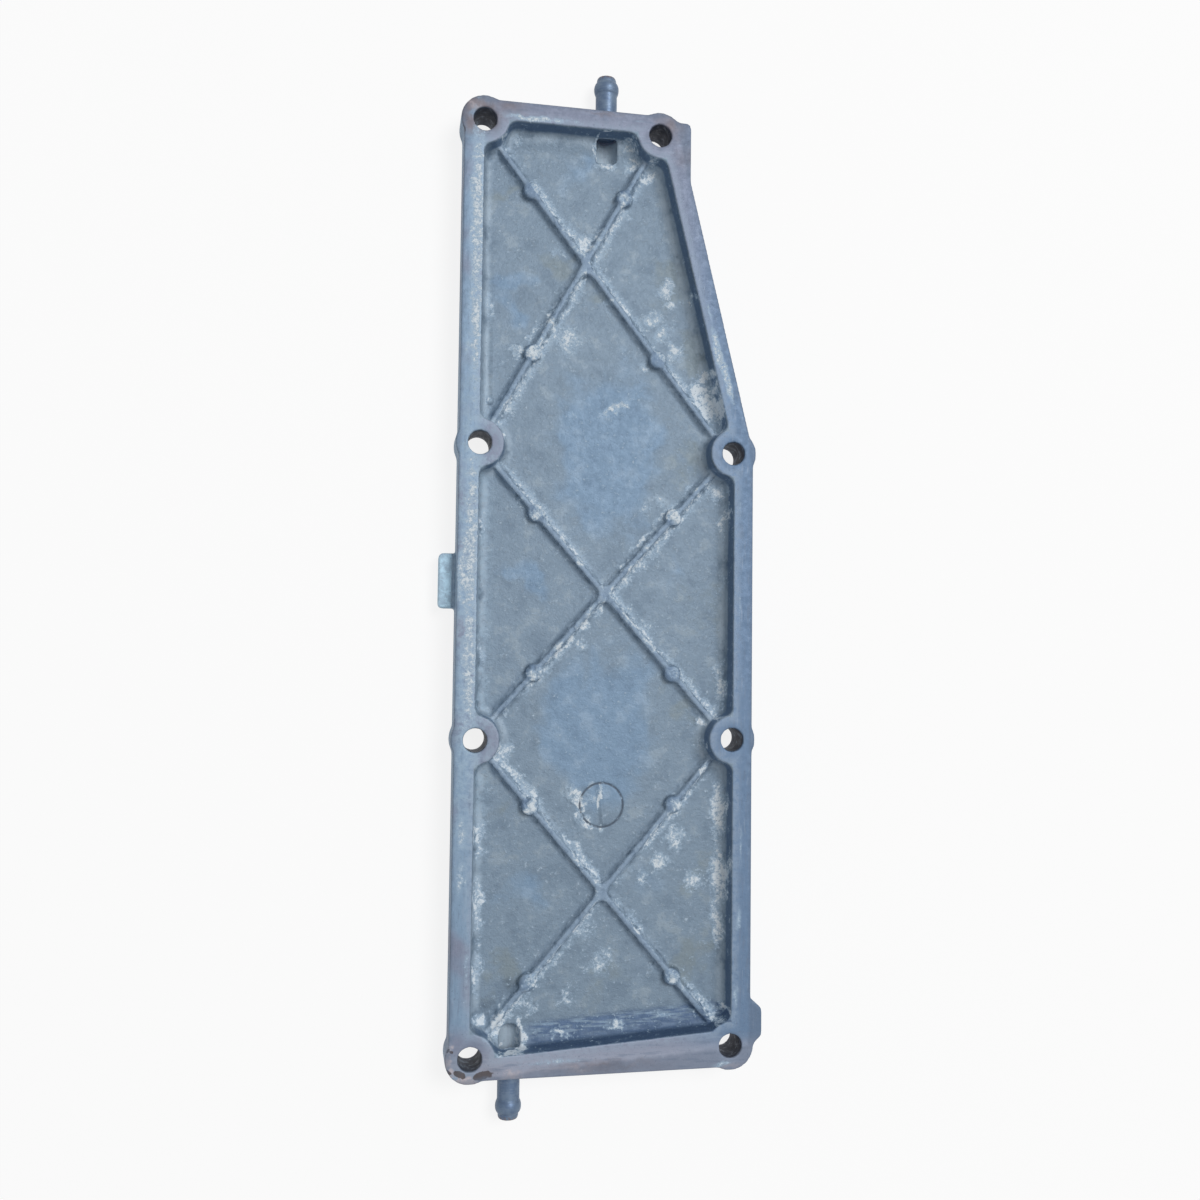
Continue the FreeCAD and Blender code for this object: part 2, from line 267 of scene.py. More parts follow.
rimChalkSpots = {
    (90, 14): [
        (-49.2, 134.0, 4.4, 1.4),  # thick strip of old sealant and chalk along the left rim
        (-49.2, 100.0, 3.8, 1.2),
        (-49.0, 72.0, 2.4, 0.75),
        (-49.6, 18.0, 4.8, 1.25),
        (-49.6, -22.0, 4.8, 1.2),
        (-49.4, -104.0, 2.4, 0.5),
        (-48.8, -130.0, 2.2, 0.55),
        (49.6, -5.0, 1.0, 0.6),
        (50.4, -92.0, 1.1, 0.65),
    ],
    (90, 4): [
        (-51.8, 88.0, 2.4, 0.9),
        (-51.0, 6.0, 5.0, 1.6),
        (-50.0, -44.0, 4.0, 0.8),
        (-51.3, -86.0, 2.6, 1.15),
        (-51.5, -101.0, 2.4, 1.1),
        (49.8, -118.0, 1.9, 0.9),
        (49.0, -146.0, 1.8, 0.8),
        (49.6, 32.0, 1.4, 0.5),
    ],
    (-76, 6): [
        (40.8, 90.0, 2.4, 1.6),
        (44.3, 80.0, 2.2, 1.5),
        (37.6, 105.0, 1.6, 0.7),
        (32.0, 128.0, 1.4, 0.4),
    ],
    (0, 10): [
        (-28.0, 172.4, 1.7, 1.4),
        (-18.0, 172.8, 1.3, 0.7),
        (-32.0, 178.4, 1.2, 0.6),
        (-16.0, -165.5, 2.2, 0.75),
    ],
    (8, 4): [
        (-8.7, -159.8, 1.7, 1.0),
        (26.0, -157.6, 1.7, 0.8),
        (44.0, -169.6, 1.8, 0.9),
        (10.0, 175.5, 1.4, 0.5),
    ],
    (-52, 4): [
        (-41.0, -156.8, 2.0, 0.95),
    ],
}
clearSpots = {  # smooth blue-grey areas that the scale has left free
    (0, 1): [
        (-28.0, 3.0, 15.0, 1.0),
        (-35.0, 112.0, 14.0, 0.9),
        (-27.0, -106.0, 15.0, 0.8),
        (16.0, -106.0, 13.0, 0.5),
        (30.0, 10.0, 12.0, 0.5),
        (-14.0, 158.0, 14.0, 0.6),
    ],
    (90, 1.5): [
        (1.0, 54.0, 30.0, 1.4),
        (0.0, -50.0, 28.0, 1.4),
    ],
}
scaleSpots = {  # olive looking scale at its thickest
    (0, 1): [
        (26.0, 120.0, 15.0, 0.9),
        (35.0, 94.0, 13.0, 1.0),
        (-18.0, 124.0, 9.0, 0.9),
        (-41.0, 147.0, 8.0, 0.9),
        (36.0, 50.0, 11.0, 1.0),
        (39.0, -4.0, 14.0, 0.7),
        (32.0, -40.0, 11.0, 0.9),
        (-33.0, -84.0, 12.0, 0.6),
        (-35.0, -138.0, 13.0, 1.0),
        (37.0, -104.0, 16.0, 0.7),
        (37.0, -136.0, 13.0, 1.0),
        (4.0, -140.0, 18.0, 0.55),
        (-1.0, 113.0, 7.0, 0.8),
    ],
}
dampSpots = {  # darker, damp looking patches
    (0, 1): [
        (-26.0, 107.0, 4.5, 0.5),
        (-9.0, 116.0, 4.0, 0.8),
        (-40.0, -147.5, 4.6, 1.5),
        (-33.0, -140.5, 4.0, 1.3),
        (-47.0, 128.0, 4.0, 0.4),
    ],
    (-74, 7): [
        (35.5, 110.0, 4.0, 0.8),
    ],
    (85, 2): [
        (-24.5, -43.5, 3.6, 0.45),
    ],
    (90, 8): [
        (45.0, -8.0, 1.6, 0.6),
    ],
    (25, 4): [
        (34.0, -153.0, 3.4, 1.0),
    ],
}
wornSpots = {  # scoured, paler metal with a pinkish cast
    (-20, 3): [
        (-49.5, -171.6, 4.0, 2.2),
        (-52.0, 176.0, 2.5, 0.6),
    ],
    (90, 4): [
        (-55.2, -163.0, 2.6, 1.2),
    ],
    (6, 4): [
        (46.0, -171.0, 2.5, 0.8),
        (-32.0, -169.5, 2.2, 0.8),
        (-8.0, -169.0, 2.0, 0.7),
        (14.0, -168.0, 2.0, 0.5),
    ],
}
brownSpots = {  # brown haze at the two ends
    (0, 1): [
        (-51.0, 174.0, 13.0, 1.5),
        (-38.0, 177.0, 8.0, 0.8),
        (22.0, 176.0, 9.0, 0.9),
        (29.0, 164.0, 8.0, 0.7),
        (-50.0, -166.0, 10.0, 0.5),
        (-40.0, -168.0, 9.0, 0.4),
    ],
    (0, 10): [
        (0.0, -168.5, 4.0, 0.8),
        (-4.0, 177.6, 1.6, 0.6),
    ],
}
burntSpots = {  # dark marks round the lower left bolt
    (-25, 2): [
        (-50.8, -168.2, 1.8, 1.5),
        (-55.6, -167.0, 1.6, 1.3),
        (-53.4, -160.6, 1.0, 1.0),
    ],
    (12, 3): [
        (-42.6, -169.0, 1.9, 1.5),
    ],
    (90, 2): [
        (-54.6, -160.0, 0.9, 1.0),
        (-55.4, 166.0, 1.6, 1.2),
    ],
}


# Crusts that stand on the metal: x, y, radius and height in mm
crusts = [
    (-10.0, 131.0, 5.0, 0.30),
    (-1.0, 161.3, 3.2, 0.35),
    (-5.2, 167.0, 2.0, 0.30),
    (15.3, 158.4, 3.0, 0.30),
    (23.0, 114.5, 3.6, 0.20),
    (-15.0, 94.0, 5.0, 0.15),
    (-20.5, 100.5, 2.6, 0.30),
    (-33.5, 88.5, 3.2, 0.30),
    (37.0, 76.0, 4.5, 0.25),
    (41.6, 68.5, 3.8, 0.45),
    (43.5, 41.0, 4.0, 0.40),
    (36.5, -46.5, 2.3, 0.60),
    (-9.2, -75.5, 2.4, 0.50),
    (-12.0, -72.5, 3.6, 0.30),
    (-7.0, -83.5, 3.4, 0.30),
    (-0.7, -74.0, 1.6, 0.25),
    (27.5, -90.5, 4.0, 0.25),
    (22.0, -98.5, 3.6, 0.25),
    (35.5, -105.5, 3.6, 0.20),
    (-37.2, -155.0, 3.0, 0.50),
    (-35.6, -151.4, 3.0, 0.45),
    (-43.4, -153.0, 2.8, 0.40),
]
padCrustHeights = (0.1, 0.35, 0.1, 0.4, 0.3, 0.4, 0.15, 0.35, 0.4, 0.2, 0.35, 0.2)
padCrustRadius = 3.8
for pad, height in zip(pads, padCrustHeights):
    crusts.append((pad.x, pad.y, padCrustRadius, height))
ribCrusts = [  # bay, rib, first and last share of its length, offset, height
    (1, 1, 0.52, 0.78, 0.3, 0.35),
    (1, 0, 0.52, 0.72, 0.7, 0.25),
    (0, 0, 0.28, 0.40, 0.5, 0.2),
    (2, 0, 0.54, 0.72, 1.6, 0.2),
    (1, 1, 0.28, 0.42, -1.6, 0.25),
    (0, 1, 0.50, 0.62, -1.5, 0.25),
]
ribCrustSteps = 5
ribCrustRadius = 2.8
for bay, leans, fromShare, toShare, offset, height in ribCrusts:
    for step in range(ribCrustSteps + 1):
        place = onRib(bay, leans, fromShare + (toShare - fromShare) * step / ribCrustSteps, offset)
        crusts.append((place.x, place.y, ribCrustRadius, height))
pits = [  # x, y, radius and depth in mm
    (3.0, 149.6, 1.0, 0.7),
    (-29.8, -71.0, 0.8, 0.5),
    (-27.0, -73.6, 0.8, 0.5),
    (19.4, -135.0, 1.1, 0.9),
    (-26.0, 29.6, 0.7, 0.4),
    (24.0, 28.6, 0.8, 0.5),
    (-27.8, -27.4, 0.8, 0.5),
    (-25.4, -29.6, 0.7, 0.4),
]
pips = [(-43.0, 69.8, 1.5, 0.7), (45.2, -150.9, 1.3, 0.7)]  # x, y, radius and height in mm


# Cast cover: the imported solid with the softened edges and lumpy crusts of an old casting

casting = {
    "voxel": 0.45 * mm,
    "rounding": 8,  # smoothing passes, enough for edges of about half a millimetre
    "triangles": 180000,
    "merge": 0.001 * mm,
    "lump": 1.6,  # mm between the lumps of a crust
    "crumb": 0.7,
    "lumpShare": 0.9,
    "crumbShare": 0.5,
    "evenShare": 0.45,
    "crustEdge": 1.5,  # how gently a crust falls to its edge
    "facing": 0.2,  # least upward slope of a surface that takes crusts
    "highest": -1.0,  # crusts stay this far below the sealing face, in mm
    "grooveHalfWidth": 0.6,  # groove of the round mark, which is also painted dark as shade
    "grooveDepth": 0.3,
}


def deselectAll():
    bpy.ops.object.select_all(action="DESELECT")


def activate(piece):
    deselectAll()
    piece.select_set(True)
    bpy.context.view_layer.objects.active = piece


def applyModifier(piece, kind, **settings):
    activate(piece)
    modifier = piece.modifiers.new(kind.lower(), kind)
    for name, value in settings.items():
        setattr(modifier, name, value)
    bpy.ops.object.modifier_apply(modifier=modifier.name)


def pointsOf(mesh):
    flat = np.empty(len(mesh.vertices) * 3, dtype=np.float32)
    mesh.vertices.foreach_get("co", flat)
    return flat.reshape(-1, 3)


def lumpiness(x, y, z):
    lump = noise.noise(Vector((x, y, z)) / casting["lump"])
    crumb = noise.noise(Vector((x, y, z)) / casting["crumb"])
    return max(0.0, casting["evenShare"] + casting["lumpShare"] * lump + casting["crumbShare"] * crumb)


def growCrusts(mesh):
    # Moves the points of the front along their normals and keeps the height of the crusts as an attribute
    points = pointsOf(mesh)
    normals = np.empty(len(points) * 3, dtype=np.float32)
    mesh.vertices.foreach_get("normal", normals)
    normals = normals.reshape(-1, 3)
    place = points / mm
    height = np.zeros(len(points))
    front = (place[:, 2] > cover["backLevel"] + 1) & (place[:, 2] < casting["highest"])
    front &= normals[:, 2] > casting["facing"]
    for x, y, radius, top in crusts:
        reach = np.hypot(place[:, 0] - x, place[:, 1] - y) / radius
        for index in np.flatnonzero(front & (reach < 1)):
            fall = (1 - reach[index] ** 2) ** casting["crustEdge"]
            height[index] = max(height[index], top * fall * lumpiness(*place[index]))
    chalky = height.copy()
    for x, y, radius, top in pips:
        reach = np.hypot(place[:, 0] - x, place[:, 1] - y) / radius
        dome = np.sqrt(np.clip(1 - reach ** 2, 0, 1)) * top
        height = np.where(front & (reach < 1), dome, height)
    for x, y, radius, depth in pits:
        reach = np.hypot(place[:, 0] - x, place[:, 1] - y) / radius
        height = np.where(front & (reach < 1), height - depth * (1 - reach ** 2), height)
    x, y = cover["markCentre"]
    groove = np.abs(np.hypot(place[:, 0] - x, place[:, 1] - y) - cover["markRadius"])
    halfWidth = casting["grooveHalfWidth"]
    height = np.where(
        front & (groove < halfWidth), height - casting["grooveDepth"] * (1 - groove / halfWidth), height)
    points += normals * (height * mm)[:, None].astype(np.float32)
    mesh.vertices.foreach_set("co", points.ravel())
    mesh.attributes.new("crust", "FLOAT", "POINT").data.foreach_set("value", chalky.astype(np.float32))
    mesh.update()


def keepInside(mesh, low, high):
    points = np.clip(pointsOf(mesh), np.array(low, np.float32), np.array(high, np.float32))
    mesh.vertices.foreach_set("co", points.ravel())
    mesh.update()


def buildCasting():
    source = frame["nodes"]["cover_casting"]
    piece = source.copy()
    piece.data = source.data.copy()
    piece.name = "coverCastingAged"
    bpy.context.collection.objects.link(piece)
    activate(piece)
    bpy.ops.object.mode_set(mode="EDIT")
    bpy.ops.mesh.select_all(action="SELECT")
    bpy.ops.mesh.remove_doubles(threshold=casting["merge"])
    bpy.ops.object.mode_set(mode="OBJECT")
    applyModifier(piece, "REMESH", mode="VOXEL", voxel_size=casting["voxel"])
    applyModifier(piece, "SMOOTH", factor=0.5, iterations=casting["rounding"])
    growCrusts(piece.data)
    applyModifier(piece, "DECIMATE", ratio=casting["triangles"] / (2 * len(piece.data.polygons)))
    keepInside(piece.data, *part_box("cover_casting"))
    activate(piece)
    bpy.ops.object.shade_smooth()
    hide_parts("cover_casting")
    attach(piece, "root")
    return piece


# Hose spigots: tubes turned with a rounded hose bead and nose

spigot = {
    "segments": 64,
    "shaft": 4.0,  # radii in mm
    "bore": 2.2,
    "bead": 4.65,
    "nose": 3.7,
    "beadSetback": 4.3,  # from the tip to the middle of the bead
    "beadHalf": 2.3,
    "beadRun": 0.8,  # slight swelling before the bead
    "beadSwell": 0.05,
    "beadSteps": 12,
    "beadShape": 1.4,
    "noseSteps": 8,
    "noseShape": 0.8,
    "boreDepth": 14.0,
    "smoothAngle": 50,
    "midway": 3.8,  # y halfway between the tips of the two tubes
    "rustFrom": 189.6,  # distance from there at which the rust starts
    "rustFull": 191.2,
}


def spigotProfile(length):
    # (distance from the inner end, radius) of the tube's outside and then its bore, in mm
    profile = [(0.0, spigot["shaft"])]
    middle = length - spigot["beadSetback"]
    half = spigot["beadHalf"]
    profile.append((middle - half - spigot["beadRun"], spigot["shaft"]))
    profile.append((middle - half, spigot["shaft"] + spigot["beadSwell"]))
    for step in range(1, spigot["beadSteps"]):
        turn = math.pi * step / spigot["beadSteps"]
        base = spigot["shaft"] if step < spigot["beadSteps"] / 2 else spigot["nose"]
        swell = (spigot["bead"] - base) * math.sin(turn) ** spigot["beadShape"]
        profile.append((middle - half * math.cos(turn), base + swell))
    noseStart = middle + half
    wall = spigot["nose"] - spigot["bore"]
    for step in range(spigot["noseSteps"] + 1):
        turn = math.pi * step / spigot["noseSteps"]
        radius = spigot["bore"] + wall / 2 + wall / 2 * math.cos(turn)
        if step <= spigot["noseSteps"] / 2:
            along = noseStart + (length - noseStart) * math.sin(turn) ** spigot["noseShape"]
        else:
            along = length - (wall / 2) * (1 - math.sin(turn))
        profile.append((along, radius))
    profile.append((length - spigot["boreDepth"], spigot["bore"]))
    return profile


def buildSpigot(node, name):
    low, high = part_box(node)
    outward = 1 if high.y > 0 else -1
    axis = Vector(((low.x + high.x) / 2, 0, (low.z + high.z) / 2))
    inner = low.y if outward > 0 else high.y
    profile = spigotProfile((high.y - low.y) / mm)
    deselectAll()
    along, radius = profile[0]
    bpy.ops.mesh.primitive_circle_add(
        vertices=spigot["segments"], radius=radius * mm, fill_type="NGON",
        location=(axis.x, inner, axis.z), rotation=(math.pi / 2, 0, 0))
    piece = bpy.context.object
    piece.name = name
    bpy.ops.object.transform_apply(location=True, rotation=True, scale=True)
    bpy.ops.object.mode_set(mode="EDIT")
    bpy.ops.mesh.select_all(action="SELECT")
    for nextAlong, nextRadius in profile[1:]:
        step = (nextAlong - along) * mm * outward
        place = (axis.x, inner + nextAlong * mm * outward, axis.z)
        bpy.ops.mesh.extrude_region_move(TRANSFORM_OT_translate={"value": (0, step, 0)})
        ratio = nextRadius / radius
        bpy.ops.transform.resize(value=(ratio, 1, ratio), center_override=place)
        along, radius = nextAlong, nextRadius
    bpy.ops.mesh.select_all(action="SELECT")
    bpy.ops.mesh.normals_make_consistent(inside=False)
    bpy.ops.object.mode_set(mode="OBJECT")
    bpy.ops.object.shade_smooth_by_angle(angle=math.radians(spigot["smoothAngle"]))
    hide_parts(node)
    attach(piece, "root")
    return piece


# Materials

def hexColour(code):
    channels = [int(code[i:i + 2], 16) / 255 for i in (1, 3, 5)]
    linear = [c / 12.92 if c <= 0.04045 else ((c + 0.055) / 1.055) ** 2.4 for c in channels]
    return (*linear, 1.0)


def addNode(tree, kind, inputs, out=0, **settings):
    node = tree.nodes.new("ShaderNode" + kind)
    for name, value in settings.items():
        setattr(node, name, value)
    for socket, value in inputs.items():
        if isinstance(value, bpy.types.NodeSocket):
            tree.links.new(value, node.inputs[socket])
        else:
            node.inputs[socket].default_value = value
    return None if out is None else node.outputs[out]


def newMaterial(name):
    material = bpy.data.materials.new(name)
    material.use_nodes = True
    tree = material.node_tree
    tree.nodes.clear()
    return material, tree


def layOver(tree, base, colour, mask):
    if isinstance(colour, str):
        colour = hexColour(colour)
    return addNode(tree, "Mix", {0: mask, 6: base, 7: colour}, out=2, data_type="RGBA")


def rise(tree, value, low, high, top=1.0):
    # Smooth step from 0 at low to top at high
    return addNode(tree, "MapRange", {"Value": value, "From Min": low, "From Max": high, "To Max": top},
                   interpolation_type="SMOOTHSTEP")


def together(tree, operation, values):
    result = values[0]
    for value in values[1:]:
        result = addNode(tree, "Math", {0: result, 1: value}, operation=operation)
    return result


def cloud(tree, point, size, detail=4.0, roughness=0.55, stretch=None):
    # Noise whose features are about size mm across
    if stretch:
        point = addNode(tree, "VectorMath", {0: point, 1: stretch}, operation="DIVIDE")
    return addNode(tree, "TexNoise", {"Vector": point, "Scale": 1 / size, "Detail": detail, "Roughness": roughness})


def warp(tree, point, size, detail):
    # Three channels of coarse noise, and a sideways vector made of the first two, centred on zero
    colour = addNode(tree, "TexNoise", {"Vector": point, "Scale": 1 / size, "Detail": detail}, out="Color")
    channels = addNode(tree, "SeparateColor", {"Color": colour}).node.outputs
    sideways = addNode(tree, "CombineXYZ", {0: channels[0], 1: channels[1], 2: 0.5})
    sideways = addNode(tree, "VectorMath", {0: sideways, 1: (0.5, 0.5, 0.5)}, operation="SUBTRACT")
    return channels, sideways


def pushed(tree, base, sideways, amount):
    return addNode(tree, "VectorMath", {0: sideways, 1: (amount, amount, 0.0), 2: base}, operation="MULTIPLY_ADD")


def spotField(tree, flat, groups):
    # Highest of the spots at each point: a spot falls evenly from its strength in the middle to 0 at its edge
    field = None
    for (turn, stretch), spots in groups.items():
        along = Vector((math.cos(math.radians(turn)), math.sin(math.radians(turn)), 0)) / stretch
        across = Vector((-math.sin(math.radians(turn)), math.cos(math.radians(turn)), 0))
        local = flat
        if stretch != 1:
            u = addNode(tree, "VectorMath", {0: flat, 1: along}, out="Value", operation="DOT_PRODUCT")
            v = addNode(tree, "VectorMath", {0: flat, 1: across}, out="Value", operation="DOT_PRODUCT")
            local = addNode(tree, "CombineXYZ", {0: u, 1: v})
        for x, y, halfWidth, strength in spots:
            place = Vector((x, y, 0))
            if stretch != 1:
                place = Vector((along.dot(place), across.dot(place), 0))
            reach = addNode(tree, "VectorMath", {0: local, 1: place}, out="Value", operation="DISTANCE")
            level = addNode(tree, "Math", {0: reach, 1: -strength / halfWidth, 2: strength},
                            operation="MULTIPLY_ADD")
            field = level if field is None else together(tree, "MAXIMUM", [field, level])
    return rise(tree, field, 0.0, 1.1, 1.12)


def lineDistance(tree, flat, normal, through):
    across = addNode(tree, "VectorMath", {0: flat, 1: normal}, out="Value", operation="DOT_PRODUCT")
    return addNode(tree, "Math", {0: across, 1: normal.dot(through)}, operation="SUBTRACT")


def wallDistances(tree, flat):
    # Distances from the pocket's straight walls, positive on the rim, the bottom wall's first
    inset = cover["rimInset"]
    (topLeft, topRight), (_, secondRight) = rows[:2]
    bottomLeft, bottomRight = rows[-1]
    widening = Vector((0, cover["bottomWidening"], 0))
    corners = [bottomLeft, bottomRight + widening, secondRight, topRight, topLeft]
    distances = []
    for start, end in zip(corners, corners[1:] + corners[:1]):
        along = (end - start).normalized()
        outward = Vector((along.y, -along.x, 0))
        distances.append(lineDistance(tree, flat, outward, start + outward * inset))
    return distances


def ribDistance(tree, flat, y):
    # Signed distance from the nearest rib's middle line, positive on its +X side
    nearest = None
    for bay in reversed(range(len(ribs))):
        sides = []
        for start, end in ribs[bay]:
            along = (end - start).normalized()
            sideways = Vector((-along.y, along.x, 0))
            sides.append(lineDistance(tree, flat, sideways if sideways.x > 0 else -sideways, start))
        spans = [addNode(tree, "Math", {0: side}, operation="ABSOLUTE") for side in sides]
        closer = addNode(tree, "Math", {0: spans[1], 1: spans[0]}, operation="LESS_THAN")
        inBay = addNode(tree, "Mix", {"Factor": closer, "A": sides[0], "B": sides[1]}, data_type="FLOAT")
        if nearest is None:
            nearest = inBay
        else:
            above = addNode(tree, "Math", {0: y, 1: rows[bay + 1][0].y}, operation="GREATER_THAN")
            nearest = addNode(tree, "Mix", {"Factor": above, "A": nearest, "B": inBay}, data_type="FLOAT")
    return nearest


aluminium = {
    "flow": 5.0,  # sizes of the noises in mm
    "wide": 16.0,
    "medium": 7.0,
    "fine": 2.4,
    "fleck": 1.0,
    "streak": 2.0,
    "ragged": 9.0,  # how far the noises push the edges of the spots, in mm
    "slightlyRagged": 3.0,
    "wandering": 34.0,
    "raggedRim": 3.0,
    "fieldShare": 0.7,  # what the deposits, the two finest noises and the rim add to the powder
    "fineShare": 1.7,
    "fleckShare": 1.5,
    "rimShare": -0.2,
    "film": (1.74, 2.10, 0.55),  # powder at which it starts and is complete, and its strength
    "chalk": (1.96, 2.16, 0.8),
    "peak": (2.16, 2.42, 0.95),
    "chalkCrust": (0.1, 0.3, 0.7),  # crust height in mm at which it starts and is complete, and its strength
    "creamCrust": (0.3, 0.5, 0.6),
    "relief": 0.35 * mm,
    "roughness": 0.52,
    "chalkRoughness": 0.2,
    "metallic": 0.25,
}


def castAluminium():
    # Die cast aluminium dulled by years of coolant: matt blue-grey oxide, grey-olive scale, chalky bloom
    material, tree = newMaterial("castAluminiumOxidised")
    objectPoint = addNode(tree, "TexCoord", {}, out="Object")
    point = addNode(tree, "VectorMath", {0: objectPoint, "Scale": 1 / mm}, operation="SCALE")
    x, y, z = addNode(tree, "SeparateXYZ", {0: point}).node.outputs
    flat = addNode(tree, "CombineXYZ", {0: x, 1: y})
    flows, drift = warp(tree, point, aluminium["flow"], 3.0)
    wides, wander = warp(tree, point, aluminium["wide"], 2.0)
    ragged = pushed(tree, flat, drift, aluminium["ragged"])
    slightlyRagged = pushed(tree, flat, drift, aluminium["slightlyRagged"])
    wandering = pushed(tree, ragged, wander, aluminium["wandering"])

    broad = wides[2]
    medium = cloud(tree, point, aluminium["medium"], 3.0, 0.6)
    fine = cloud(tree, point, aluminium["fine"], 3.0, 0.65)
    fleck = cloud(tree, point, aluminium["fleck"], 2.0, 0.75)
    lengthwise = cloud(tree, point, aluminium["streak"], 2.0, 0.6, stretch=(0.5, 5.0, 1.0))
    crosswise = cloud(tree, point, aluminium["streak"], 2.0, 0.65, stretch=(5.0, 0.7, 1.0))

    bottomWall, *otherWalls = wallDistances(tree, flat)
    boltDistance = None
    for bolt in bolts:
        gap = addNode(tree, "VectorMath", {0: flat, 1: bolt}, out="Value", operation="DISTANCE")
        boltDistance = gap if boltDistance is None else together(tree, "MINIMUM", [boltDistance, gap])
    bossDistance = addNode(tree, "Math", {0: cover["bossRadius"], 1: boltDistance}, operation="SUBTRACT")
    rim = together(tree, "MAXIMUM", [bottomWall, *otherWalls, bossDistance])
    raggedRim = addNode(tree, "Math", {0: flows[0], 1: aluminium["raggedRim"], 2: rim}, operation="MULTIPLY_ADD")
    raggedRim = addNode(tree, "Math", {0: raggedRim, 1: aluminium["raggedRim"] / 2}, operation="SUBTRACT")
    front = rise(tree, z, cover["backLevel"] + 0.4, cover["backLevel"] + 0.9)
    onFace = rise(tree, z, -0.6, -0.25)
    inPocket = together(tree, "MULTIPLY", [front, rise(tree, rim, 0.4, 0.0)])
    rib = ribDistance(tree, slightlyRagged, y)
    crust = addNode(tree, "Attribute", {}, out="Fac", attribute_name="crust")

    # Rim: machined once, violet-grey at the ends, bluer down the right side, pale down the left;
    # side tab painted pale as painted light against the shadow the flange casts on it
    acrossEnds = addNode(tree, "Math", {0: y}, operation="ABSOLUTE")
    atEnds = rise(tree, acrossEnds, 152.0, 162.0)
    streaks = addNode(tree, "Mix", {"Factor": atEnds, "A": lengthwise, "B": crosswise}, data_type="FLOAT")
    colour = layOver(tree, hexColour("#7a8297"), "#607b99", rise(tree, x, 20.0, 46.0, 0.9))
    colour = layOver(tree, colour, "#989fb1", rise(tree, y, -158.0, -166.0, 0.85))
    colour = layOver(tree, colour, "#7d97b0", together(tree, "MULTIPLY", [
        rise(tree, x, -42.0, -50.0), rise(tree, broad, 0.3, 0.55, 0.9)]))
    colour = layOver(tree, colour, "#66768c", rise(tree, streaks, 0.5, 0.75, 0.6))
    colour = layOver(tree, colour, "#8a98ac", rise(tree, streaks, 0.46, 0.25, 0.5))
    # Painted light: the side tab gets a paler colour than its own, to lift the flange's shadow on it
    tabGap = addNode(tree, "VectorMath", {0: point, 1: cover["tabPlace"]}, out="Value", operation="DISTANCE")
    colour = layOver(tree, colour, "#b4d3e6", together(tree, "MULTIPLY", [
        rise(tree, tabGap, 12.5, 10.5), rise(tree, x, -55.4, -56.4)]))

    # Pocket: grey scale with smooth blue-grey areas, mottled by the finer noises
    pocket = layOver(tree, hexColour("#788b9d"), "#66798c", rise(tree, medium, 0.48, 0.32, 0.6))
    pocket = layOver(tree, pocket, "#93a3b1", rise(tree, medium, 0.54, 0.7, 0.7))
    pocket = layOver(tree, pocket, "#8b9aa8", rise(tree, fine, 0.52, 0.7, 0.6))
    pocket = layOver(tree, pocket, "#637485", rise(tree, fine, 0.46, 0.3, 0.5))
    olive = addNode(tree, "Math", {0: spotField(tree, wandering, scaleSpots), 1: 0.5, 2: medium},
                    operation="MULTIPLY_ADD")
    pocket = layOver(tree, pocket, "#78858c", rise(tree, olive, 0.55, 0.95, 0.75))
    clear = layOver(tree, hexColour("#758ea7"), "#869cb2", rise(tree, medium, 0.5, 0.68, 0.8))
    clear = layOver(tree, clear, "#69819a", rise(tree, medium, 0.46, 0.32, 0.7))
    clear = layOver(tree, clear, "#6c849c", rise(tree, fine, 0.44, 0.28, 0.5))
    clearness = addNode(tree, "Math", {0: spotField(tree, wandering, clearSpots), 1: 1.0, 2: medium},
                        operation="MULTIPLY_ADD")
    pocket = layOver(tree, pocket, clear, rise(tree, clearness, 0.6, 1.25))
    colour = layOver(tree, colour, pocket, inPocket)

    # Damp patches, painted shade at the foot of each rib's -X side, painted highlight on the crests, walls painted
    # dark as shade, a pale chalky wall foot and pale troughs both painted lighter against their shade, and the dark
    # streaked ramp along the bottom wall
    colour = layOver(tree, colour, "#4f6071", together(tree, "MULTIPLY", [
        spotField(tree, ragged, dampSpots), rise(tree, medium, 0.25, 0.6, 0.75), inPocket]))
    # Painted shade: a darker band along the foot of each rib on its -X side, away from the light
    paintedRibFootShade = together(tree, "MULTIPLY", [
        rise(tree, rib, -0.8, -1.8), rise(tree, rib, -3.8, -2.0, 0.25), rise(tree, medium, 0.25, 0.6), inPocket,
        rise(tree, z, cover["floorLevel"] + 2.6, cover["floorLevel"] + 1.6)])
    colour = layOver(tree, colour, "#546b86", paintedRibFootShade)
    # Painted highlight: a paler colour along the rib crests
    paintedCrestHighlight = together(tree, "MULTIPLY", [
        rise(tree, rib, -2.4, -1.0), rise(tree, rib, 2.4, 1.0, 0.6), rise(tree, fine, 0.3, 0.55), inPocket])
    colour = layOver(tree, colour, "#a8bccf", paintedCrestHighlight)
    # Painted shade: the pocket walls below the rim are darkened, all but the lit left wall
    colour = layOver(tree, colour, "#4a6688", together(tree, "MULTIPLY", [
        rise(tree, z, -0.2, -1.4), rise(tree, z, -7.0, -5.5, 0.7), rise(tree, x, -46.5, -43.0), inPocket]))
    # Pale chalky foot of the pocket walls, also painted lighter as painted light against the shade it lies in
    wallFootChalkAndLight = together(tree, "MULTIPLY", [
        rise(tree, raggedRim, -4.6, -2.2), rise(tree, z, -5.0, -6.5), rise(tree, medium, 0.3, 0.6, 0.7), inPocket])
    colour = layOver(tree, colour, "#a3b4c3", wallFootChalkAndLight)
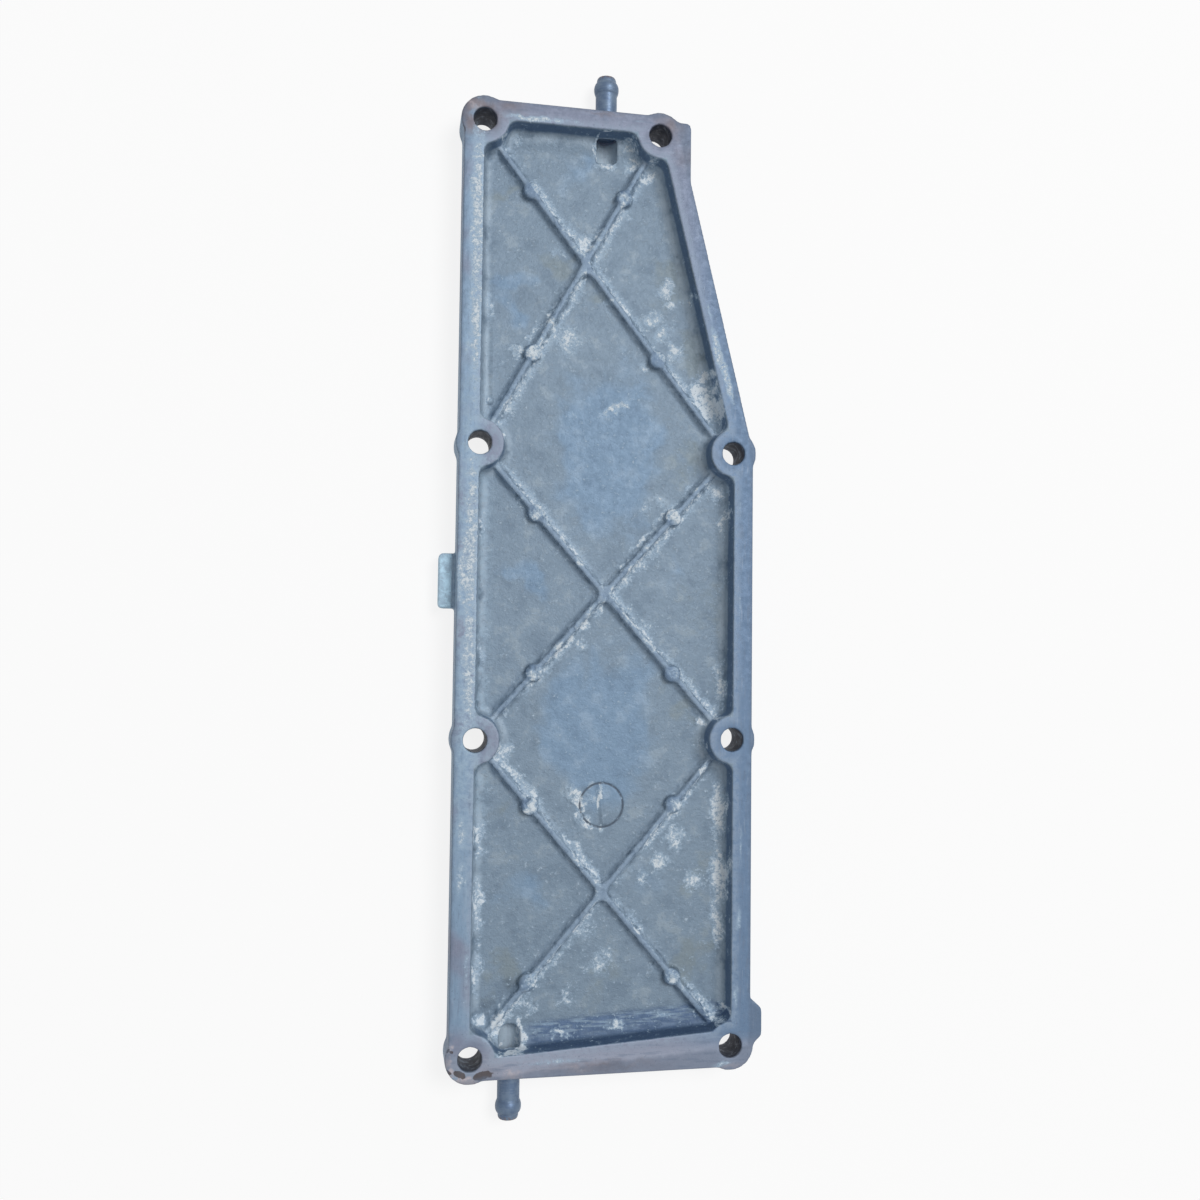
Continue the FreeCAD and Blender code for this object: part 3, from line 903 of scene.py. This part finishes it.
    # Troughs painted pale: partly a chalky deposit, partly painted light that lifts the shade inside them
    troughChalkAndLight = together(tree, "MULTIPLY", [
        rise(tree, z, cover["floorLevel"] - 0.1, cover["floorLevel"] - 0.6),
        rise(tree, z, cover["backLevel"] + 0.1, cover["backLevel"] + 0.3),
        rise(tree, x, -46.0, -44.0), rise(tree, x, 20.0, 18.0), rise(tree, acrossEnds, 171.5, 170.5)])
    colour = layOver(tree, colour, "#a8b8c5", troughChalkAndLight)
    ramp = together(tree, "MULTIPLY", [
        rise(tree, bottomWall, -9.5, -6.5), rise(tree, x, -30.0, -22.0), inPocket])
    colour = layOver(tree, colour, "#48607f", together(tree, "MULTIPLY", [
        ramp, rise(tree, crosswise, 0.62, 0.42)]))
    colour = layOver(tree, colour, "#6d86a0", together(tree, "MULTIPLY", [
        ramp, rise(tree, crosswise, 0.5, 0.66, 0.8)]))
    colour = layOver(tree, colour, "#3f5674", together(tree, "MULTIPLY", [
        ramp, rise(tree, bottomWall, -5.5, -1.5, 0.8)]))

    # Brown haze, scoured metal and burnt marks at the end bolts
    colour = layOver(tree, colour, "#746f77", together(tree, "MULTIPLY", [
        spotField(tree, ragged, brownSpots), rise(tree, medium, 0.2, 0.45, 0.92), onFace]))
    colour = layOver(tree, colour, "#b8b1b7", together(tree, "MULTIPLY", [
        spotField(tree, ragged, wornSpots), rise(tree, fine, 0.3, 0.56, 0.9), onFace]))
    burnt = together(tree, "ADD", [spotField(tree, slightlyRagged, burntSpots), fine])
    colour = layOver(tree, colour, "#453d3d", together(tree, "MULTIPLY", [
        rise(tree, burnt, 0.9, 1.15, 0.9), onFace]))

    # Dust on the left side, pale inner margin and dark outer edge of the rim
    dust = together(tree, "MULTIPLY", [
        rise(tree, x, -38.0, -46.0), rise(tree, fine, 0.4, 0.62, 0.6), rise(tree, y, 120.0, 40.0),
        rise(tree, y, -115.0, -65.0), front])
    colour = layOver(tree, colour, "#9db4c6", dust)
    margin = together(tree, "MULTIPLY", [
        onFace, rise(tree, raggedRim, 4.0, 0.8, 0.4), rise(tree, rim, -0.3, 0.3), rise(tree, fine, 0.3, 0.6)])
    colour = layOver(tree, colour, "#9fb0c3", margin)
    colour = layOver(tree, colour, "#59687d", together(tree, "MULTIPLY", [
        onFace, rise(tree, raggedRim, 5.6, 7.4, 0.5)]))

    # Chalk: a thin film that breaks into speckle and closes up in the middle of each deposit
    ribSide = together(tree, "MULTIPLY", [
        rise(tree, rib, 6.5, 1.8), rise(tree, rib, 0.2, 1.2, 0.75), rise(tree, broad, 0.34, 0.56)])
    field = together(tree, "MULTIPLY", [
        together(tree, "MAXIMUM", [spotField(tree, ragged, chalkSpots), ribSide]), inPocket])
    rimField = together(tree, "MULTIPLY", [spotField(tree, slightlyRagged, rimChalkSpots), onFace])
    field = together(tree, "MAXIMUM", [field, rimField])
    powder = together(tree, "MULTIPLY", [fleck, aluminium["fleckShare"]])
    for part, share in ((fine, "fineShare"), (field, "fieldShare"), (onFace, "rimShare")):
        powder = addNode(tree, "Math", {0: part, 1: aluminium[share], 2: powder}, operation="MULTIPLY_ADD")
    powder = together(tree, "MULTIPLY", [powder, front])
    haze = together(tree, "MULTIPLY", [rise(tree, field, 0.1, 0.9, 0.68), rise(tree, fine, 0.3, 0.56), front])
    film = rise(tree, powder, *aluminium["film"])
    chalk = together(tree, "MAXIMUM", [
        rise(tree, powder, *aluminium["chalk"]), rise(tree, crust, *aluminium["chalkCrust"])])
    peak = rise(tree, powder, *aluminium["peak"])
    colour = layOver(tree, colour, "#9ab0c4", haze)
    colour = layOver(tree, colour, "#94abc0", film)
    colour = layOver(tree, colour, "#b2c4d4", chalk)
    colour = layOver(tree, colour, "#dce5ec", peak)
    colour = layOver(tree, colour, "#dfdfd3", rise(tree, crust, *aluminium["creamCrust"]))

    # Fine grain over everything, painted shade in the bolt holes and in the groove of the round mark
    colour = layOver(tree, colour, "#46566a", rise(tree, fleck, 0.42, 0.22, 0.5))
    # Painted shade: the walls of the bolt holes are darkened
    paintedHoleShade = together(tree, "MULTIPLY", [
        rise(tree, boltDistance, cover["holeRadius"] + 0.25, cover["holeRadius"] - 0.1),
        rise(tree, z, -0.2, -0.9), rise(tree, fine, 0.2, 0.5, 0.95)])
    colour = layOver(tree, colour, "#252d40", paintedHoleShade)
    markPlace = (*cover["markCentre"], 0)
    markGap = addNode(tree, "VectorMath", {0: flat, 1: markPlace}, out="Value", operation="DISTANCE")
    markLine = addNode(tree, "Math", {0: markGap, 1: cover["markRadius"]}, operation="SUBTRACT")
    markLine = addNode(tree, "Math", {0: markLine}, operation="ABSOLUTE")
    # Painted shade: the groove of the round mark is darkened
    colour = layOver(tree, colour, "#3f4d5e", together(tree, "MULTIPLY", [
        rise(tree, markLine, 0.6, 0.15, 0.9), rise(tree, fine, 0.35, 0.5), inPocket]))

    # Relief: cast skin, pitting and powder
    relief = addNode(tree, "Math", {0: medium, 1: 0.5, 2: fine}, operation="MULTIPLY_ADD")
    relief = addNode(tree, "Math", {0: fleck, 1: 0.6, 2: relief}, operation="MULTIPLY_ADD")
    relief = addNode(tree, "Math", {0: crust, 1: 2.0, 2: relief}, operation="MULTIPLY_ADD")
    depth = rise(tree, onFace, 1.0, 0.0, 0.35)
    depth = together(tree, "ADD", [depth, 0.25])
    bump = addNode(tree, "Bump", {"Height": relief, "Strength": depth, "Distance": aluminium["relief"]})
    roughness = together(tree, "ADD", [
        rise(tree, fine, 0.3, 0.7, 0.16), aluminium["roughness"],
        rise(tree, chalk, 0.0, 0.8, aluminium["chalkRoughness"])])
    bare = addNode(tree, "Math", {0: 1.0, 1: troughChalkAndLight}, operation="SUBTRACT")
    metallic = together(tree, "MULTIPLY", [rise(tree, chalk, 0.6, 0.0, aluminium["metallic"]), bare])
    shader = addNode(tree, "BsdfPrincipled", {
        "Base Color": colour, "Roughness": roughness, "Metallic": metallic, "Normal": bump})
    addNode(tree, "OutputMaterial", {"Surface": shader}, out=None)
    return material


def spigotSteel():
    # Plated steel tube gone dark: smooth, turned, with a dull shine and a touch of rust at the mouth
    material, tree = newMaterial("spigotSteelDarkened")
    objectPoint = addNode(tree, "TexCoord", {}, out="Object")
    point = addNode(tree, "VectorMath", {0: objectPoint, "Scale": 1 / mm}, operation="SCALE")
    medium = cloud(tree, point, 3.0, 4.0)
    fine = cloud(tree, point, 0.8, 4.0, 0.6)
    turned = cloud(tree, point, 1.0, 3.0, stretch=(8.0, 0.35, 8.0))
    colour = layOver(tree, hexColour("#667990"), "#566a85", rise(tree, medium, 0.4, 0.62))
    colour = layOver(tree, colour, "#7b8a9e", rise(tree, turned, 0.5, 0.7, 0.3))
    y = addNode(tree, "SeparateXYZ", {0: point}, out=1)
    span = addNode(tree, "Math", {0: y, 1: spigot["midway"]}, operation="SUBTRACT")
    tip = addNode(tree, "Math", {0: span}, operation="ABSOLUTE")
    rust = together(tree, "MULTIPLY", [
        rise(tree, tip, spigot["rustFrom"], spigot["rustFull"]), rise(tree, fine, 0.42, 0.6, 0.8)])
    colour = layOver(tree, colour, "#7a5a45", rust)
    rustRoughness = together(tree, "MULTIPLY", [rust, 0.3])
    roughness = together(tree, "ADD", [rise(tree, fine, 0.3, 0.7, 0.15), 0.38, rustRoughness])
    bump = addNode(tree, "Bump", {"Height": turned, "Strength": 0.25, "Distance": 0.1 * mm})
    shader = addNode(tree, "BsdfPrincipled", {
        "Base Color": colour, "Roughness": roughness, "Metallic": 0.45, "Normal": bump})
    addNode(tree, "OutputMaterial", {"Surface": shader}, out=None)
    return material


# Studio: pale floor, one wide soft light from above the upper right, weak fill, white background

studio = {
    "floorSize": 6.0,
    "keySize": 1.5,
    "keyPlace": (1.02, 0.85, 2.75),
    "keyPower": 56.0,
    "fill": 0.3,
    "paper": (0.92, 0.92, 0.92, 1),
    "glowShare": 0.85,  # share of plain white in what is seen of the floor
}
white = (1, 1, 1, 1)


def seenDirectly(tree):
    # 1 for camera, glossy and transmitted rays
    path = addNode(tree, "LightPath", {}).node.outputs
    return together(tree, "MAXIMUM", [path["Is Camera Ray"], path["Is Glossy Ray"], path["Is Transmission Ray"]])


def buildStudio():
    deselectAll()
    bpy.ops.mesh.primitive_plane_add(size=studio["floorSize"], location=(0, 0, cadLow.z))
    floor = bpy.context.object
    floor.name = "studioFloor"
    material, tree = newMaterial("studioPaper")
    paper = addNode(tree, "BsdfDiffuse", {"Color": studio["paper"]})
    glow = addNode(tree, "Emission", {"Color": white, "Strength": 1.0})
    share = together(tree, "MULTIPLY", [seenDirectly(tree), studio["glowShare"]])
    shader = addNode(tree, "MixShader", {0: share, 1: paper, 2: glow})
    addNode(tree, "OutputMaterial", {"Surface": shader}, out=None)
    floor.data.materials.append(material)

    world = bpy.data.worlds.new("studioRoom")
    scene.world = world
    world.use_nodes = True
    tree = world.node_tree
    tree.nodes.clear()
    strength = addNode(tree, "Mix", {"Factor": seenDirectly(tree), "A": studio["fill"], "B": 1.0},
                       data_type="FLOAT")
    background = addNode(tree, "Background", {"Color": white, "Strength": strength})
    addNode(tree, "OutputWorld", {"Surface": background}, out=None)

    bpy.ops.object.light_add(type="AREA", location=studio["keyPlace"])
    key = bpy.context.object
    key.name = "keyLight"
    key.data.shape = "DISK"
    key.data.size = studio["keySize"]
    key.data.energy = studio["keyPower"]
    key.rotation_euler = Vector(studio["keyPlace"]).to_track_quat("Z", "Y").to_euler()


# Camera, fitted to the photograph's 1200 pixel frame

photo = {
    "place": (-78.7, -24.7, 426.8),
    "turn": (2.823, -11.289, 0.617),
    "focalPixels": 1201.0,
    "centrePixel": (625.0, 599.8),
    "size": 1200,
    "sensor": 36.0,
    "clip": (0.01, 20.0),
}


def buildCamera():
    data = bpy.data.cameras.new("photoCamera")
    camera = bpy.data.objects.new("photoCamera", data)
    scene.collection.objects.link(camera)
    camera.location = Vector(photo["place"]) * mm
    camera.rotation_euler = Euler([math.radians(turn) for turn in photo["turn"]], "XYZ")
    data.sensor_width = photo["sensor"]
    data.lens = photo["focalPixels"] * data.sensor_width / photo["size"]
    centreX, centreY = photo["centrePixel"]
    data.shift_x = (photo["size"] / 2 - centreX) / photo["size"]
    data.shift_y = (centreY - photo["size"] / 2) / photo["size"]
    data.clip_start, data.clip_end = photo["clip"]
    scene.camera = camera


coverPiece = buildCasting()
print("casting:", len(coverPiece.data.polygons), "faces")
coverPiece.data.materials.clear()
coverPiece.data.materials.append(castAluminium())
steel = spigotSteel()
for node, name in (("upper_hose_spigot", "upperSpigotTube"), ("lower_hose_spigot", "lowerSpigotTube")):
    tube = buildSpigot(node, name)
    tube.data.materials.append(steel)
print("spigots turned")
buildStudio()
buildCamera()
scene.view_settings.view_transform = "Standard"
print("studio and camera set")
